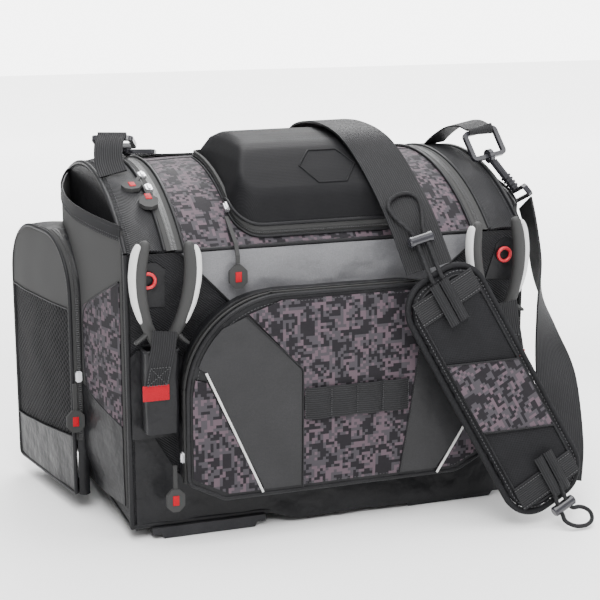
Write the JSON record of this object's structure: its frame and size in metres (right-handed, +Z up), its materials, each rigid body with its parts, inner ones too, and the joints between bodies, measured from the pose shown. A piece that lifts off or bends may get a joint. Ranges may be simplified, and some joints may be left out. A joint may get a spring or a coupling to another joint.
{
  "type": "fishing tackle bag",
  "caption": "Soft-sided tackle bag with a domed zip lid, moulded case on top, front pocket, side mesh pockets, rod sleeves, sheathed pliers and a padded shoulder strap.",
  "frame": {"origin": "on the floor, in the middle of the whole bag with its strap and side pockets", "axes": "+X to the bag's right, +Y to its back, +Z up"},
  "size_m": [0.5748, 0.4125, 0.4073],
  "materials": {
    "black_fabric": "woven, matt",
    "rail_plastic": "moulded, fine grain",
    "board": "plain",
    "coated_fabric": "coated, satin",
    "camo_fabric": "printed pixel camouflage",
    "neoprene": "matt, fine pile",
    "mesh": "open mesh with bound edge",
    "moulded_eva": "fabric-faced foam",
    "zip_tape": "woven tape",
    "webbing": "ribbed webbing",
    "pad_fabric": "padded, bound edge",
    "tool_black": "dipped",
    "tool_grip": "soft, light grey",
    "bright_steel": "bright",
    "gloss_plastic": "moulded",
    "pull_rubber": "moulded, with a red bar",
    "elastic": "braided",
    "red_metal": "anodised"
  },
  "bodies": {
    "root": {"back_panel": "black_fabric", "base_board": "board", "bottom_panel": "coated_fabric", "eyelets": "red_metal", "front_panel": "coated_fabric", "mesh_pocket_gusset_left": "black_fabric", "mesh_pocket_gusset_right": "black_fabric", "pliers_sheath_left": "coated_fabric", "pliers_sheath_right": "coated_fabric", "pocket_gusset": "coated_fabric", "rod_sleeve_left": "neoprene", "rod_sleeve_right": "neoprene", "side_panel_left": "black_fabric", "side_panel_right": "black_fabric", "skid_left": "rail_plastic", "skid_right": "rail_plastic", "top_gusset_left": "black_fabric", "top_gusset_right": "black_fabric"},
    "lid": {"case_base": "zip_tape", "case_slider": "bright_steel", "lid": "camo_fabric"},
    "case_lid": {"case_lid": "moulded_eva"},
    "strap": {"anchor_tab_left": "webbing", "anchor_tab_right": "webbing", "elastic_cord_bottom": "elastic", "elastic_cord_top": "elastic", "strap_hook_left": "gloss_plastic", "strap_hook_right": "gloss_plastic", "strap_pad": "pad_fabric", "strap_return": "webbing", "strap_ring_left": "gloss_plastic", "strap_ring_right": "gloss_plastic", "strap_webbing": "webbing"},
    "pocket_flap": {"pocket_flap": "camo_fabric", "webbing_loops": "webbing"},
    "door_left": {"mesh_pocket_door_left": "mesh"},
    "door_right": {"mesh_pocket_door_right": "mesh"},
    "pliers_left": {"pliers_outer_grip_left": "tool_grip", "pliers_outer_half_left": "tool_black", "pliers_rivet_left": "bright_steel"},
    "pliers_jaw_left": {"pliers_inner_grip_left": "tool_grip", "pliers_inner_half_left": "tool_black"},
    "pliers_right": {"pliers_outer_grip_right": "tool_grip", "pliers_outer_half_right": "tool_black", "pliers_rivet_right": "bright_steel"},
    "pliers_jaw_right": {"pliers_inner_grip_right": "tool_grip", "pliers_inner_half_right": "tool_black"},
    "case_pull": {"case_pull": "pull_rubber"},
    "cord_lock_bottom": {"cord_lock_bottom": "gloss_plastic"},
    "cord_lock_top": {"cord_lock_top": "gloss_plastic"},
    "lid_pull_front": {"lid_pull_front": "pull_rubber"},
    "lid_pull_rear": {"lid_pull_rear": "pull_rubber"},
    "lid_slider_front": {"lid_slider_front": "bright_steel"},
    "lid_slider_rear": {"lid_slider_rear": "bright_steel"},
    "pocket_pull": {"pocket_pull": "pull_rubber"},
    "pocket_slider": {"pocket_slider": "bright_steel"},
    "side_pull_left": {"side_pull_left": "pull_rubber"},
    "side_pull_right": {"side_pull_right": "pull_rubber"},
    "side_slider_left": {"side_slider_left": "bright_steel"},
    "side_slider_right": {"side_slider_right": "bright_steel"}
  },
  "joints": [
    {"name": "lid_hinge", "type": "hinge", "parent": "root", "child": "lid", "pos_m": [0, 0.19, 0.3455], "axis": [-1, 0, 0], "range_deg": [0, 95]},
    {"name": "strap_swing", "type": "hinge", "parent": "root", "child": "strap", "pos_m": [0, 0.19, 0.3455], "axis": [-1, 0, 0], "range_deg": [0, 172]},
    {"name": "case_lid_hinge", "type": "hinge", "parent": "lid", "child": "case_lid", "pos_m": [0, 0.107, 0.3762], "axis": [-1, 0, 0], "range_deg": [0, 86]},
    {"name": "pocket_flap_hinge", "type": "hinge", "parent": "root", "child": "pocket_flap", "pos_m": [0, -0.1165, 0.0457], "axis": [1, 0, 0], "range_deg": [0, 72]},
    {"name": "side_door_left_hinge", "type": "hinge", "parent": "root", "child": "door_left", "pos_m": [-0.28449, 0.1759, 0.16], "axis": [0, 0, -1], "range_deg": [0, 100]},
    {"name": "side_door_right_hinge", "type": "hinge", "parent": "root", "child": "door_right", "pos_m": [0.28449, 0.1759, 0.16], "axis": [0, 0, 1], "range_deg": [0, 100]},
    {"name": "pliers_left_slide", "type": "slide", "parent": "root", "child": "pliers_left", "axis": [0.0698, 0, 0.9976], "range_m": [0, 0.08]},
    {"name": "pliers_left_squeeze", "type": "hinge", "parent": "pliers_left", "child": "pliers_jaw_left", "pos_m": [-0.188, -0.099, 0.2], "axis": [0, -1, 0], "range_deg": [0, 10]},
    {"name": "pliers_right_slide", "type": "slide", "parent": "root", "child": "pliers_right", "axis": [-0.0698, 0, 0.9976], "range_m": [0, 0.08]},
    {"name": "pliers_right_squeeze", "type": "hinge", "parent": "pliers_right", "child": "pliers_jaw_right", "pos_m": [0.188, -0.099, 0.2], "axis": [0, 1, 0], "range_deg": [0, 10]},
    {"name": "lid_slider_rear_travel", "type": "hinge", "parent": "root", "child": "lid_slider_rear", "pos_m": [-0.174, 0.086, 0.1215], "axis": [-1, 0, 0], "range_deg": [0, 4.5]},
    {"name": "lid_pull_rear_hinge", "type": "hinge", "parent": "lid_slider_rear", "child": "lid_pull_rear", "pos_m": [-0.17744, 0.01577, 0.3615], "axis": [-0.848, 0.5117, 0.1376], "range_deg": [0, 90]},
    {"name": "lid_slider_front_travel", "type": "hinge", "parent": "root", "child": "lid_slider_front", "pos_m": [-0.174, 0.086, 0.1215], "axis": [1, 0, 0], "range_deg": [0, 10]},
    {"name": "lid_pull_front_hinge", "type": "hinge", "parent": "lid_slider_front", "child": "lid_pull_front", "pos_m": [-0.17557, -0.01316, 0.35108], "axis": [-0.9703, 0.2244, 0.0903], "range_deg": [0, 90]},
    {"name": "case_pull_hinge", "type": "hinge", "parent": "lid", "child": "case_pull", "pos_m": [-0.106, -0.0545, 0.32404], "axis": [-1, 0, 0], "range_deg": [0, 30]},
    {"name": "pocket_slider_travel", "type": "slide", "parent": "root", "child": "pocket_slider", "axis": [0, 0, 1], "range_m": [-0.02, 0.02]},
    {"name": "pocket_pull_hinge", "type": "hinge", "parent": "pocket_slider", "child": "pocket_pull", "pos_m": [-0.1795, -0.108, 0.0855], "axis": [-1, 0, 0], "range_deg": [0, 100]},
    {"name": "side_slider_left_travel", "type": "slide", "parent": "root", "child": "side_slider_left", "axis": [0, 0, 1], "range_m": [-0.07, 0.04]},
    {"name": "side_pull_left_hinge", "type": "hinge", "parent": "side_slider_left", "child": "side_pull_left", "pos_m": [-0.2525, 0.0115, 0.1455], "axis": [-1, 0, 0], "range_deg": [0, 100]},
    {"name": "side_slider_right_travel", "type": "slide", "parent": "root", "child": "side_slider_right", "axis": [0, 0, 1], "range_m": [-0.07, 0.04]},
    {"name": "side_pull_right_hinge", "type": "hinge", "parent": "side_slider_right", "child": "side_pull_right", "pos_m": [0.2525, 0.0115, 0.1455], "axis": [-1, 0, 0], "range_deg": [0, 100]},
    {"name": "cord_lock_top_slide", "type": "slide", "parent": "strap", "child": "cord_lock_top", "axis": [-0.2231, 0.4638, 0.8574], "range_m": [-0.006, 0.002]},
    {"name": "cord_lock_bottom_slide", "type": "slide", "parent": "strap", "child": "cord_lock_bottom", "axis": [0.4517, -0.1729, -0.8752], "range_m": [-0.006, 0.001]}
  ],
  "couplings": [
    {"joint": "strap_swing", "follows": "lid_hinge", "ratio": 1.8},
    {"joint": "case_lid_hinge", "follows": "lid_hinge", "ratio": 0.9},
    {"joint": "pocket_flap_hinge", "follows": "lid_hinge", "ratio": 0.75}
  ]
}
